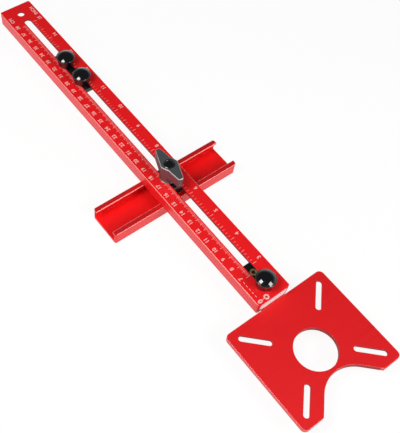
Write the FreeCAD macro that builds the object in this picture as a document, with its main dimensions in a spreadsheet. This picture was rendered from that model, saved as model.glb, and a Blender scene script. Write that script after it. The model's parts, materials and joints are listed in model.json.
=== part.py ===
import FreeCAD, Part
import os
import Sketcher

# Router circle cutting jig, in millimetres
# X runs along the rail away from the router and Z points up
# The origin is on the axis of the bit opening, level with the underside of the rail

doc = FreeCAD.newDocument("RouterCircleJig")
V = FreeCAD.Vector

# Driving sizes

SIZES = {
    "rail_near": 46.8,
    "rail_length": 360.0,
    "rail_width": 30.5,
    "rail_height": 12.0,
    "wall": 2.0,
    "lip_reach": 4.5,
    "lip_thick": 1.8,
    "lip_round": 0.8,
    "edge_round": 0.5,
    "rail_corner": 2.0,
    "slot_width": 6.5,
    "slot_near": 52.0,
    "slot_from_end": 19.8,
    "hang_hole": 6.4,
    "hang_from_end": 11.1,
    "zero_hole": 1.8,
    "zero_x": 49.7,
    "zero_y": 5.6,
    "plate_thick": 4.0,
    "plate_front": 39.4,
    "plate_back": 45.6,
    "plate_half": 47.2,
    "plate_corner": 4.0,
    "plate_edge_round": 0.4,
    "leg_round": 2.0,
    "bit_opening": 33.2,
    "cut_radius": 25.5,
    "cut_centre": 45.5,
    "screw_slot_width": 4.5,
    "screw_well_width": 8.6,
    "screw_well_deep": 2.0,
    "screw_slot_span": 20.0,
    "screw_slot_back_x": 30.2,
    "screw_slot_front_x": 23.8,
    "screw_slot_y": 31.3,
    "tongue_top": 3.8,
    "block_setback": 0.7,
    "tongue_end": 78.7,
    "block_gap": 0.15,
    "block_top": 9.9,
    "block_corner": 1.2,
    "key_width": 6.3,
    "key_top": 11.9,
    "end_knob_x": 58.7,
    "spare_insert_x": 70.5,
    "tongue_screw_x": 65.0,
    "tongue_screw_y": 7.2,
    "tongue_screw": 2.9,
    "screw_head": 5.4,
    "screw_head_deep": 1.4,
    "screw_tip": 8.8,
    "screw_recess": 2.0,
    "insert_od": 5.6,
    "insert_bore": 4.0,
    "empty_bore": 3.3,
    "stud": 3.9,
    "washer_od": 12.0,
    "washer_bore": 4.4,
    "washer_thick": 0.8,
    "knob_radius": 8.0,
    "knob_height": 11.0,
    "knob_skirt": 8.4,
    "knob_flare": 1.3,
    "knob_rim": 0.6,
    "stud_hold": 6.0,
    "slider_near": 291.4,
    "slider_far": 334.1,
    "slider_floor": 2.0,
    "slider_tab": 4.4,
    "pivot_x": 297.2,
    "lock_x": 321.4,
    "pin_diameter": 3.2,
    "pin_taper": 2.0,
    "pin_reach": 6.0,
    "fence_x": 175.05,
    "fence_length": 122.0,
    "fence_gap": 0.1,
    "clamp_gap": 0.1,
    "crossing_top": 9.8,
    "crossing_drop": 1.7,
    "clamp_side_gap": 0.2,
    "clamp_length": 20.0,
    "clamp_thick": 4.0,
    "bolt": 5.9,
    "bolt_head": 10.0,
    "bolt_head_thick": 3.6,
    "bolt_top": 24.0,
    "wing_top": 29.2,
    "wing_thick": 9.7,
    "wing_hub": 13.0,
    "wing_tip_x": 17.3,
    "wing_tip_y": 0.9,
    "wing_bulge_x": 0.65,
    "wing_bulge_y": 7.4,
    "wing_waist_x": 5.3,
    "wing_waist_y": 4.5,
    "wing_heel_x": 16.5,
    "wing_heel_y": 3.3,
    "wing_tip_round": 1.5,
    "wing_bulge_round": 4.0,
    "wing_bevel": 0.5,
    "bush_od": 9.0,
    "bush_bore": 6.0,
    "bush_top": 25.0,
    "cap_od": 9.4,
    "cap_deep": 1.2,
    "cap_rise": 0.3,
    "cap_well": 0.5,
    "wing_washer_od": 14.0,
    "wing_washer_bore": 6.5,
}
sheet = doc.addObject("Spreadsheet::Sheet", "Dims")
for row, (alias, size) in enumerate(SIZES.items(), start=1):
    sheet.set(f"A{row}", alias)
    sheet.set(f"B{row}", str(size))
    sheet.setAlias(f"B{row}", alias)
doc.recompute()

# Lengths are written as sums of size names, such as rail_width/2-lip_reach


def terms(text):
    """Signs and words of a sum."""
    spaced = text.replace(" ", "").replace("-", " -").replace("+", " +")
    found = []
    for word in spaced.split():
        sign = -1.0 if word.startswith("-") else 1.0
        found.append((sign, word.lstrip("+-")))
    return found


def factor(word):
    return SIZES[word] if word in SIZES else float(word)


def length_of(text):
    """Present value of a sum in millimetres."""
    total = 0.0
    for sign, word in terms(text):
        over, _, under = word.partition("/")
        product = 1.0
        for piece in over.split("*"):
            product *= factor(piece)
        if under:
            product /= factor(under)
        total += sign * product
    return total


def minus(text):
    """The same sum with its signs turned round."""
    flipped = "".join(("-" if sign > 0 else "+") + word for sign, word in terms(text))
    return flipped.lstrip("+")


def signed(text, sign):
    return text if sign > 0 else minus(text)


def add(*texts):
    """Sum of several sums."""
    joined = ""
    for text in texts:
        for sign, word in terms(text):
            joined += ("+" if sign > 0 else "-") + word
    return joined.lstrip("+")


def tie(item, prop, text):
    """Bind a property to the sizes in the sheet."""
    spaced = text
    for mark in "*/+-":
        spaced = spaced.replace(mark, f" {mark} ")
    words = ["Dims." + word if word in SIZES else word for word in spaced.split()]
    item.setExpression(prop, " ".join(words))


# Lengths that several pieces share

RAIL_END = "rail_near+rail_length"
BLOCK_HALF = "rail_width/2-wall-block_gap"
TONGUE_HALF = "rail_width/2-lip_reach-block_gap"
BOSS_HALF = "rail_width/2-lip_reach-fence_gap"
CLAMP_HALF = "rail_width/2-wall-clamp_side_gap"

# Sketches, pads and pockets


def new_body(label):
    body = doc.addObject("PartDesign::Body", "Body_" + label)
    body.Label = label
    return body


def origin_plane(body, role):
    for feature in body.Origin.OriginFeatures:
        if feature.Role == role:
            return feature
    raise RuntimeError("no plane " + role)


def new_sketch(body, name, role="XY_Plane", offset="0"):
    """Sketch on an origin plane of the body, moved along the normal of that plane."""
    sketch = body.newObject("Sketcher::SketchObject", name)
    sketch.AttachmentSupport = [(origin_plane(body, role), "")]
    sketch.MapMode = "FlatFace"
    tie(sketch, "AttachmentOffset.Base.z", offset)
    doc.recompute()
    return sketch


def hold(sketch, kind, first, second, text, tag):
    """Driving constraint bound to the sheet."""
    index = sketch.addConstraint(Sketcher.Constraint(kind, *first, *second, length_of(text)))
    sketch.renameConstraint(index, tag)
    tie(sketch, "Constraints." + tag, text)


def hold_point(sketch, geo, end, spot, tag):
    hold(sketch, "DistanceX", (-1, 1), (geo, end), spot[0], tag + "_x")
    hold(sketch, "DistanceY", (-1, 1), (geo, end), spot[1], tag + "_y")


def add_outline(sketch, corners, arcs=(), tag="p"):
    """Closed outline. A side listed in arcs is an arc whose centre is held at the given point."""
    arc_centres = dict(arcs)
    points = [V(length_of(x), length_of(y), 0) for x, y in corners]
    count = len(points)
    first = sketch.GeometryCount
    ends = []
    for i, start in enumerate(points):
        finish = points[(i + 1) % count]
        if i not in arc_centres:
            sketch.addGeometry(Part.LineSegment(start, finish), False)
            ends.append((1, 2))
            continue
        centre = V(*[length_of(text) for text in arc_centres[i][:2]], 0)
        bulge = V(*[length_of(text) for text in arc_centres[i][2:4]], 0)
        leftward = (start - centre).cross(bulge - centre).z > 0
        near_end, far_end = (start, finish) if leftward else (finish, start)
        circle = Part.Circle(centre, V(0, 0, 1), (start - centre).Length)
        arc = Part.ArcOfCircle(circle, circle.parameter(near_end), circle.parameter(far_end))
        sketch.addGeometry(arc, False)
        ends.append((1, 2) if leftward else (2, 1))
    for i in range(count):
        after = (i + 1) % count
        link = Sketcher.Constraint("Coincident", first + i, ends[i][1], first + after, ends[after][0])
        sketch.addConstraint(link)
    for i, spot in enumerate(corners):
        hold_point(sketch, first + i, ends[i][0], spot, f"{tag}{i}")
    for i, route in arc_centres.items():
        hold(sketch, "DistanceX", (-1, 1), (first + i, 3), route[0], f"{tag}_centre{i}")


def add_circle(sketch, spot, diameter, tag):
    centre = V(length_of(spot[0]), length_of(spot[1]), 0)
    circle = Part.Circle(centre, V(0, 0, 1), length_of(diameter) / 2)
    geo = sketch.addGeometry(circle, False)
    hold(sketch, "Diameter", (geo,), (), diameter, tag + "_d")
    hold_point(sketch, geo, 3, spot, tag)


def pad(body, sketch, name, length):
    feature = body.newObject("PartDesign::Pad", name)
    feature.Profile = sketch
    tie(feature, "Length", length)
    doc.recompute()
    return feature


def pocket(body, sketch, name, depth=None):
    """Cut through the whole body, or downwards by a depth. It must take material away."""
    before = body.Shape.Volume
    feature = body.newObject("PartDesign::Pocket", name)
    feature.Profile = sketch
    if depth is None:
        feature.Type = 1
        feature.Midplane = True
    else:
        tie(feature, "Length", depth)
    doc.recompute()
    if body.Shape.Volume > before - 1e-6:
        raise RuntimeError(name + " takes nothing away")
    return feature


def bore(body, name, spots, diameter, top=None, depth=None):
    sketch = new_sketch(body, name, "XY_Plane", top or "0")
    for i, spot in enumerate(spots):
        add_circle(sketch, spot, diameter, f"hole{i}")
    return pocket(body, sketch, name + "_cut", depth)


def soften(body, kind, name, wanted, size):
    """Fillet or chamfer on the edges picked by a test."""
    base = body.Tip
    names = [f"Edge{i}" for i, edge in enumerate(base.Shape.Edges, start=1) if wanted(edge)]
    if not names:
        raise RuntimeError(name + " finds no edge")
    feature = body.newObject("PartDesign::" + kind, name)
    feature.Base = (base, names)
    tie(feature, "Radius" if kind == "Fillet" else "Size", size)
    doc.recompute()
    if not feature.Shape.isValid():
        raise RuntimeError(name + " is not valid")
    return feature


def runs(edge, direction):
    """True for a straight edge along a direction."""
    if not isinstance(edge.Curve, Part.Line):
        return False
    return abs(edge.Curve.Direction.dot(direction)) > 0.999


def upright(edge):
    return runs(edge, V(0, 0, 1))


def level_at(edge, text):
    box = edge.BoundBox
    height = length_of(text)
    return abs(box.ZMin - height) < 0.01 and abs(box.ZMax - height) < 0.01


def near(value, text):
    return abs(abs(value) - length_of(text)) < 0.02


def block(label, low_x, high_x, half_y, low_z, high_z):
    """Rectangular block between named limits, even about the rail's middle plane."""
    body = new_body(label)
    sketch = new_sketch(body, label + "_outline", "XY_Plane", low_z)
    add_outline(sketch, rectangle(low_x, high_x, half_y))
    pad(body, sketch, label + "_pad", add(high_z, minus(low_z)))
    return body


def rectangle(low_x, high_x, half_y):
    return [
        (low_x, minus(half_y)),
        (high_x, minus(half_y)),
        (high_x, half_y),
        (low_x, half_y),
    ]


def turned(label, axis_x, profile, arcs=()):
    """Turned piece: an outline of radius and height, swept round an upright axis."""
    body = new_body(label)
    sketch = new_sketch(body, label + "_section", "XZ_Plane")
    add_outline(sketch, profile, arcs)
    sweep = body.newObject("PartDesign::Revolution", label + "_sweep")
    sweep.Profile = sketch
    sweep.ReferenceAxis = (sketch, ["V_Axis"])
    sweep.Angle = 360
    tie(body, "Placement.Base.x", axis_x)
    doc.recompute()
    return body


def gathered(label, pieces):
    """Separate equal pieces under one name."""
    group = doc.addObject("Part::Compound", label)
    group.Links = pieces
    group.Label = label
    doc.recompute()
    return group


def channel_section(turned_over):
    """Corners and rounded edges of the lipped channel, seen along its length."""
    side = [
        ("rail_width/2-edge_round", "rail_height"),
        ("rail_width/2", "rail_height-edge_round"),
        ("rail_width/2", "edge_round"),
        ("rail_width/2-edge_round", "0"),
        ("rail_width/2-lip_reach", "0"),
        ("rail_width/2-lip_reach", "lip_thick"),
        ("rail_width/2-wall", "lip_thick"),
        ("rail_width/2-wall", "rail_height-wall"),
    ]
    other = [(minus(x), y) for x, y in reversed(side)]
    inner = "rail_width/2-edge_round"
    outer = "rail_width/2-0.29289322*edge_round"
    upper = ("rail_height-edge_round", "rail_height-0.29289322*edge_round")
    lower = ("edge_round", "0.29289322*edge_round")
    arcs = [
        (0, (inner, upper[0], outer, upper[1])),
        (2, (inner, lower[0], outer, lower[1])),
        (12, (minus(inner), lower[0], minus(outer), lower[1])),
        (14, (minus(inner), upper[0], minus(outer), upper[1])),
    ]

    def turned_height(y):
        return add(minus(y), "-fence_gap") if turned_over else y

    corners = [(x, turned_height(y)) for x, y in side + other]
    arcs = [(i, (x, turned_height(y), mid_x, turned_height(mid_y))) for i, (x, y, mid_x, mid_y) in arcs]
    return corners, arcs


def round_ends(channel, low_x, high_x, low_y, high_y):
    """Mill the four upright corners of a channel round in plan."""
    for end_x, way_x in ((low_x, 1), (high_x, -1)):
        for end_y, way_y in ((low_y, 1), (high_y, -1)):
            place = ("near" if way_x > 0 else "far") + ("_right" if way_y > 0 else "_left")
            corner = new_sketch(channel, f"{channel.Label}_{place}_corner")
            deep_x = add(end_x, signed("rail_corner", way_x))
            deep_y = add(end_y, signed("rail_corner", way_y))
            mid_x = add(end_x, signed("0.29289322*rail_corner", way_x))
            mid_y = add(end_y, signed("0.29289322*rail_corner", way_y))
            add_outline(
                corner,
                [(deep_x, end_y), (end_x, end_y), (end_x, deep_y)],
                [(2, (deep_x, deep_y, mid_x, mid_y))],
            )
            pocket(channel, corner, corner.Name + "_cut")


# Rail, a lipped channel open below, with the long slot in its web

rail = new_body("bar_rail")
rail_section = new_sketch(rail, "rail_section", "YZ_Plane", "rail_near")
add_outline(rail_section, *channel_section(False))
pad(rail, rail_section, "rail_extrusion", "rail_length")

SLOT_A = "slot_near+slot_width/2"
SLOT_END = add(RAIL_END, "-slot_from_end")
SLOT_B = add(SLOT_END, "-slot_width/2")
slot = new_sketch(rail, "rail_slot")
add_outline(
    slot,
    rectangle(SLOT_A, SLOT_B, "slot_width/2"),
    [
        (1, (SLOT_B, "0", SLOT_END, "0")),
        (3, (SLOT_A, "0", "slot_near", "0")),
    ],
)
pocket(rail, slot, "rail_slot_cut")
bore(rail, "hang_hole", [(add(RAIL_END, "-hang_from_end"), "0")], "hang_hole")
bore(rail, "zero_hole", [("zero_x", "zero_y")], "zero_hole")

round_ends(rail, "rail_near", RAIL_END, "-rail_width/2", "rail_width/2")


def lip_tip(edge):
    return edge.Length > 100 and near(edge.CenterOfMass.y, "rail_width/2-lip_reach")


soften(rail, "Fillet", "lip_rounding", lip_tip, "lip_round")

# Base plate: it carries the router, and its tongue reaches into the rail

plate = new_body("base_plate")
outline = new_sketch(plate, "plate_outline")
ROOT = "0.70710678*cut_radius"
ROOT_X = add(ROOT, "-cut_centre")
MOUTH = "1.41421356*cut_radius+plate_front-cut_centre"
add_outline(
    outline,
    [
        ("plate_back", "-plate_half"),
        ("plate_back", "plate_half"),
        ("-plate_front", "plate_half"),
        ("-plate_front", MOUTH),
        (ROOT_X, ROOT),
        (ROOT_X, minus(ROOT)),
        ("-plate_front", minus(MOUTH)),
        ("-plate_front", "-plate_half"),
    ],
    [(4, ("-cut_centre", "0", "cut_radius-cut_centre", "0"))],
)
pad(plate, outline, "plate_pad", "plate_thick")


def plate_corner(edge):
    return upright(edge) and near(edge.CenterOfMass.y, "plate_half")


def leg_tip(edge):
    middle = edge.CenterOfMass
    return upright(edge) and near(middle.x, "plate_front") and near(middle.y, MOUTH)


def plate_rim(edge):
    return level_at(edge, "plate_thick")


soften(plate, "Fillet", "plate_corners", plate_corner, "plate_corner")
soften(plate, "Fillet", "leg_tips", leg_tip, "leg_round")
soften(plate, "Fillet", "plate_top_rim", plate_rim, "plate_edge_round")

# The tongue lies a step below the seat, so the rail stays clear of the router
tongue = new_sketch(plate, "tongue_outline")
add_outline(tongue, rectangle("plate_back-5", "tongue_end", TONGUE_HALF))
pad(plate, tongue, "tongue_pad", "tongue_top")
bore(plate, "bit_opening", [("0", "0")], "bit_opening")

# Four slanting slots take the screws of the router's own base, with a well below for their heads
ALONG = "0.35355339*screw_slot_span"
SLOT_CENTRES = {
    "back_left": ("screw_slot_back_x", "screw_slot_y", 1, 1),
    "back_right": ("screw_slot_back_x", "-screw_slot_y", 1, -1),
    "front_left": ("-screw_slot_front_x", "screw_slot_y", -1, 1),
    "front_right": ("-screw_slot_front_x", "-screw_slot_y", -1, -1),
}


def slanting_slot(centre_x, centre_y, way_x, way_y, width):
    """Outline and end arcs of a slot that points outwards at 45 degrees."""
    across = "0.35355339*" + width

    def spot(steps_along, steps_across):
        """Point of the slot, counted along it and across it."""
        x_parts = [centre_x]
        y_parts = [centre_y]
        if steps_along:
            x_parts.append(signed(ALONG, steps_along * way_x))
            y_parts.append(signed(ALONG, steps_along * way_y))
        if steps_across:
            x_parts.append(signed(across, -steps_across * way_y))
            y_parts.append(signed(across, steps_across * way_x))
        return add(*x_parts), add(*y_parts)

    def tip(end):
        end_x, end_y = spot(end, 0)
        return add(end_x, signed(across, end * way_x)), add(end_y, signed(across, end * way_y))

    corners = [spot(-1, 1), spot(1, 1), spot(1, -1), spot(-1, -1)]
    arcs = [(1, spot(1, 0) + tip(1)), (3, spot(-1, 0) + tip(-1))]
    return corners, arcs


for name, place in SLOT_CENTRES.items():
    screw_slot = new_sketch(plate, "screw_slot_" + name)
    add_outline(screw_slot, *slanting_slot(*place, "screw_slot_width"))
    pocket(plate, screw_slot, f"screw_slot_{name}_cut")
    screw_well = new_sketch(plate, "screw_well_" + name, "XY_Plane", "screw_well_deep")
    add_outline(screw_well, *slanting_slot(*place, "screw_well_width"))
    pocket(plate, screw_well, f"screw_well_{name}_cut", "screw_well_deep")

SCREW_SPOTS = [
    ("tongue_screw_x", "tongue_screw_y"),
    ("tongue_screw_x", "-tongue_screw_y"),
]
bore(plate, "tongue_screw_holes", SCREW_SPOTS, "tongue_screw+0.3")
for i, spot in enumerate(SCREW_SPOTS):
    sink = plate.newObject("PartDesign::SubtractiveCone", f"screw_sink_{i}")
    sink.AttachmentSupport = [(origin_plane(plate, "XY_Plane"), "")]
    sink.MapMode = "FlatFace"
    tie(sink, "Radius1", "screw_head/2+0.1")
    tie(sink, "Radius2", "tongue_screw/2+0.1")
    tie(sink, "Height", "screw_head_deep+0.1")
    tie(sink, "AttachmentOffset.Base.x", spot[0])
    tie(sink, "AttachmentOffset.Base.y", spot[1])
    doc.recompute()


# Tongue block, screwed to the tongue, with its guide key and threaded inserts

BLOCK_NEAR = "plate_back+block_setback"
tongue_block = block("tongue_block", BLOCK_NEAR, "tongue_end", BLOCK_HALF, "tongue_top", "block_top")
INSERT_SPOTS = [("end_knob_x", "0"), ("spare_insert_x", "0")]
bore(tongue_block, "insert_seats", INSERT_SPOTS, "insert_od")
bore(tongue_block, "screw_threads", SCREW_SPOTS, "tongue_screw")


def outer_upright(edge):
    return upright(edge) and near(edge.CenterOfMass.y, BLOCK_HALF)


soften(tongue_block, "Chamfer", "block_corners", outer_upright, "block_corner")

key = new_body("tongue_key")
key_outline = new_sketch(key, "key_outline", "XY_Plane", "block_top")
add_outline(
    key_outline,
    rectangle("end_knob_x", "tongue_end", "key_width/2"),
    [(3, ("end_knob_x", "0", "end_knob_x-key_width/2", "0"))],
)
pad(key, key_outline, "key_pad", "key_top-block_top")
bore(key, "key_holes", INSERT_SPOTS, "insert_od")


def bush(name, spot_x, low, high, outer_size, inner_size):
    """Plain ring between two heights."""
    outer = doc.addObject("Part::Cylinder", name + "_outer")
    inner = doc.addObject("Part::Cylinder", name + "_bore")
    for cylinder, size in ((outer, outer_size), (inner, inner_size)):
        tie(cylinder, "Radius", size + "/2")
        tie(cylinder, "Height", add(high, minus(low)))
    ring = doc.addObject("Part::Cut", name)
    ring.Base = outer
    ring.Tool = inner
    tie(ring, "Placement.Base.x", spot_x)
    tie(ring, "Placement.Base.z", low)
    doc.recompute()
    return ring


# A thread with a stud in it is as wide as the stud, and an empty one shows its root bore
gathered("tongue_inserts", [
    bush("near_insert", "end_knob_x", "tongue_top", "key_top", "insert_od", "insert_bore"),
    bush("spare_insert", "spare_insert_x", "tongue_top", "key_top", "insert_od", "empty_bore"),
])


def countersunk_screw(name, spot):
    """Flat-headed screw with a six-sided recess, pointing up."""
    head = doc.addObject("Part::Cone", name + "_head")
    tie(head, "Radius1", "screw_head/2")
    tie(head, "Radius2", "tongue_screw/2")
    tie(head, "Height", "screw_head_deep")
    shank = doc.addObject("Part::Cylinder", name + "_shank")
    tie(shank, "Radius", "tongue_screw/2")
    tie(shank, "Height", "screw_tip")
    recess = doc.addObject("Part::Prism", name + "_recess")
    recess.Polygon = 6
    tie(recess, "Circumradius", "screw_recess/2")
    tie(recess, "Height", "screw_head_deep")
    whole = doc.addObject("Part::Fuse", name + "_whole")
    whole.Base = head
    whole.Tool = shank
    screw = doc.addObject("Part::Cut", name)
    screw.Base = whole
    screw.Tool = recess
    tie(screw, "Placement.Base.x", spot[0])
    tie(screw, "Placement.Base.y", spot[1])
    doc.recompute()
    return screw


gathered("tongue_screws", [
    countersunk_screw(f"tongue_screw_{i}", spot) for i, spot in enumerate(SCREW_SPOTS)
])

# Domed hand knobs, each moulded on a steel stud over a washer

FOOT = "rail_height+washer_thick"


def domed_knob(label, spot_x):
    """Hand knob with a slightly flared skirt under a shallow dome."""
    skirt = add(FOOT, "knob_skirt")
    crown = add(FOOT, "knob_height")
    roof = add(FOOT, "stud_hold")
    rise = length_of("knob_height-knob_skirt")
    reach = length_of("knob_radius")
    dome = (reach ** 2 + rise ** 2) / (2 * rise)
    lean = 0.5 * reach
    bulge_height = length_of(crown) - dome + (dome ** 2 - lean ** 2) ** 0.5
    body = turned(
        label,
        spot_x,
        [
            ("stud/2", FOOT),
            ("knob_radius-knob_flare", FOOT),
            ("knob_radius", skirt),
            ("0", crown),
            ("0", roof),
            ("stud/2", roof),
        ],
        [(2, ("0", str(length_of(crown) - dome), str(lean), str(bulge_height)))],
    )
    soften(body, "Fillet", label + "_rim", lambda edge: level_at(edge, skirt), "knob_rim")
    return body


def knob_stud(label, spot_x, tip):
    return turned(label, spot_x, [
        ("0", tip),
        ("stud/2-0.4", tip),
        ("stud/2", add(tip, "0.4")),
        ("stud/2", add(FOOT, "stud_hold")),
        ("0", add(FOOT, "stud_hold")),
    ])


def washer(label, spot_x, outer_size, inner_size):
    return turned(label, spot_x, [
        (inner_size + "/2", "rail_height"),
        (outer_size + "/2", "rail_height"),
        (outer_size + "/2", FOOT),
        (inner_size + "/2", FOOT),
    ])


domed_knob("end_knob", "end_knob_x")
knob_stud("end_knob_stud", "end_knob_x", "tongue_top+0.4")
washer("end_knob_washer", "end_knob_x", "washer_od", "washer_bore")

# Pivot slider with its pivot knob and its lock knob

slider = block("slider_block", "slider_near", "slider_far", BLOCK_HALF, "slider_floor", "block_top")
slider_key = new_sketch(slider, "slider_key", "XY_Plane", "block_top-0.5")
add_outline(slider_key, rectangle("slider_near-slider_tab", "slider_far", "key_width/2"))
pad(slider, slider_key, "slider_key_pad", "key_top-block_top+0.5")
SLIDER_SPOTS = [("pivot_x", "0"), ("lock_x", "0")]
bore(slider, "slider_insert_seats", SLIDER_SPOTS, "insert_od")
soften(slider, "Chamfer", "slider_corners", outer_upright, "block_corner")
gathered("slider_inserts", [
    bush("pivot_insert", "pivot_x", "slider_floor", "key_top", "insert_od", "insert_bore"),
    bush("lock_insert", "lock_x", "slider_floor", "key_top", "insert_od", "insert_bore"),
])
domed_knob("lock_knob", "lock_x")
knob_stud("lock_knob_stud", "lock_x", "slider_floor+0.4")
washer("lock_knob_washer", "lock_x", "washer_od", "washer_bore")
domed_knob("pivot_knob", "pivot_x")
turned("pivot_pin", "pivot_x", [
    ("0", "-pin_reach"),
    ("0.4", "-pin_reach"),
    ("pin_diameter/2", "-pin_reach+pin_taper"),
    ("pin_diameter/2", "slider_floor"),
    ("stud/2", "slider_floor+0.4"),
    ("stud/2", add(FOOT, "stud_hold")),
    ("0", add(FOOT, "stud_hold")),
])
washer("pivot_knob_washer", "pivot_x", "washer_od", "washer_bore")

# Cross fence, the same channel turned over, below the rail and square to it

fence = new_body("fence_channel")
fence_section = new_sketch(fence, "fence_section", "XZ_Plane", "-fence_length/2")
add_outline(fence_section, *channel_section(True))
pad(fence, fence_section, "fence_extrusion", "fence_length")
round_ends(fence, "-rail_width/2", "rail_width/2", "-fence_length/2", "fence_length/2")
tie(fence, "Placement.Base.x", "fence_x")
doc.recompute()


def fence_lip(edge):
    return runs(edge, V(0, 1, 0)) and near(edge.CenterOfMass.x, "rail_width/2-lip_reach")


soften(fence, "Fillet", "fence_lip_rounding", fence_lip, "lip_round")

CROSSING_NEAR = add("fence_x", minus(BOSS_HALF))
CROSSING_FAR = add("fence_x", BOSS_HALF)
crossing = block("crossing_block", CROSSING_NEAR, CROSSING_FAR, BLOCK_HALF, "lip_thick+0.1", "crossing_top")
boss = new_sketch(crossing, "crossing_boss", "XY_Plane", "-crossing_drop")
add_outline(boss, rectangle(CROSSING_NEAR, CROSSING_FAR, BOSS_HALF))
pad(crossing, boss, "crossing_boss_pad", "crossing_drop+lip_thick+0.5")
bore(crossing, "crossing_bolt_hole", [("fence_x", "0")], "bolt+0.2")

CLAMP_FACE = "-lip_thick-fence_gap-clamp_gap"
clamp = block("clamp_plate", add("fence_x", minus(CLAMP_HALF)), add("fence_x", CLAMP_HALF), "clamp_length/2",
              add(CLAMP_FACE, "-clamp_thick"), CLAMP_FACE)
bore(clamp, "clamp_bolt_hole", [("fence_x", "0")], "bolt")

bolt_rod = doc.addObject("Part::Cylinder", "clamp_bolt_rod")
tie(bolt_rod, "Radius", "bolt/2")
tie(bolt_rod, "Height", add("bolt_top", minus(CLAMP_FACE), "clamp_thick"))
tie(bolt_rod, "Placement.Base.z", add(CLAMP_FACE, "-clamp_thick"))
bolt_hex = doc.addObject("Part::Prism", "clamp_bolt_hex")
bolt_hex.Polygon = 6
tie(bolt_hex, "Circumradius", "bolt_head/1.7320508")
tie(bolt_hex, "Height", "bolt_head_thick")
tie(bolt_hex, "Placement.Base.z", add(CLAMP_FACE, "-clamp_thick-bolt_head_thick"))
clamp_bolt = doc.addObject("Part::Fuse", "clamp_bolt")
clamp_bolt.Base = bolt_rod
clamp_bolt.Tool = bolt_hex
clamp_bolt.Label = "clamp_bolt"
tie(clamp_bolt, "Placement.Base.x", "fence_x")
doc.recompute()

# Wing knob: a cast two-winged knob with a threaded bush and a cover cap

wing = new_body("wing_knob")
wing_outline = new_sketch(wing, "wing_outline", "XY_Plane", "wing_top-wing_thick")
half_wing = [
    ("wing_tip_x", "wing_tip_y"),
    ("wing_bulge_x", "wing_bulge_y"),
    ("-wing_waist_x", "wing_waist_y"),
    ("-wing_heel_x", "wing_heel_y"),
]
add_outline(wing_outline, half_wing + [(minus(x), minus(y)) for x, y in half_wing])
pad(wing, wing_outline, "wing_pad", "wing_thick")


def wing_end(edge):
    return upright(edge) and abs(edge.CenterOfMass.x) > length_of("wing_tip_x/2")


def wing_bulge(edge):
    return upright(edge) and near(edge.CenterOfMass.x, "wing_bulge_x")


soften(wing, "Fillet", "wing_ends", wing_end, "wing_tip_round")
soften(wing, "Fillet", "wing_bulges", wing_bulge, "wing_bulge_round")
soften(wing, "Chamfer", "wing_bevel", lambda edge: level_at(edge, "wing_top"), "wing_bevel")
hub = new_sketch(wing, "wing_hub", "XY_Plane", FOOT)
add_circle(hub, ("0", "0"), "wing_hub", "hub")
pad(wing, hub, "wing_hub_pad", add("wing_top-wing_thick+0.5", minus(FOOT)))
bore(wing, "bush_seat", [("0", "0")], "bush_od", "bush_top", add("bush_top", minus(FOOT)))
bore(wing, "cap_seat", [("0", "0")], "cap_od", "wing_top", "cap_deep")
tie(wing, "Placement.Base.x", "fence_x")
doc.recompute()

turned("wing_bush", "fence_x", [
    ("bush_bore/2", FOOT),
    ("bush_od/2", FOOT),
    ("bush_od/2", "bush_top"),
    ("bush_bore/2", "bush_top"),
])
turned("wing_cap", "fence_x", [
    ("0", "wing_top-cap_deep"),
    ("cap_od/2", "wing_top-cap_deep"),
    ("cap_od/2", "wing_top"),
    ("cap_od/2-0.5", "wing_top+cap_rise"),
    ("cap_od/2-1.1", "wing_top+cap_rise"),
    ("cap_od/2-1.4", "wing_top"),
    ("cap_od/2-1.6", "wing_top-cap_well"),
    ("0", "wing_top-cap_well"),
])
washer("wing_washer", "fence_x", "wing_washer_od", "wing_washer_bore")

# Every piece is checked, then written to its own file

doc.recompute()
for item in doc.Objects:
    if "Invalid" in item.State or "Error" in item.State:
        raise RuntimeError(item.Name + " has state " + str(item.State))

NODES = [
    "bar_rail",
    "base_plate", "tongue_block", "tongue_key", "tongue_inserts", "tongue_screws",
    "end_knob", "end_knob_stud", "end_knob_washer",
    "slider_block", "slider_inserts",
    "lock_knob", "lock_knob_stud", "lock_knob_washer",
    "pivot_knob", "pivot_pin", "pivot_knob_washer",
    "fence_channel", "crossing_block", "clamp_plate", "clamp_bolt",
    "wing_knob", "wing_bush", "wing_cap", "wing_washer",
]
by_label = {item.Label: item for item in doc.Objects}
os.makedirs("parts", exist_ok=True)
for label in NODES:
    shape = by_label[label].Shape
    if shape.isNull() or not shape.isValid() or not shape.Solids:
        raise RuntimeError(label + " has no valid solid")
    box = shape.BoundBox
    corners = (box.XMin, box.YMin, box.ZMin, box.XMax, box.YMax, box.ZMax)
    print(label, len(shape.Solids), round(shape.Volume, 1), [round(side, 2) for side in corners])
    shape.exportStep(f"parts/{label}.step")
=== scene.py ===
"""Looks of the router circle cutting jig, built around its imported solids."""

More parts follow.
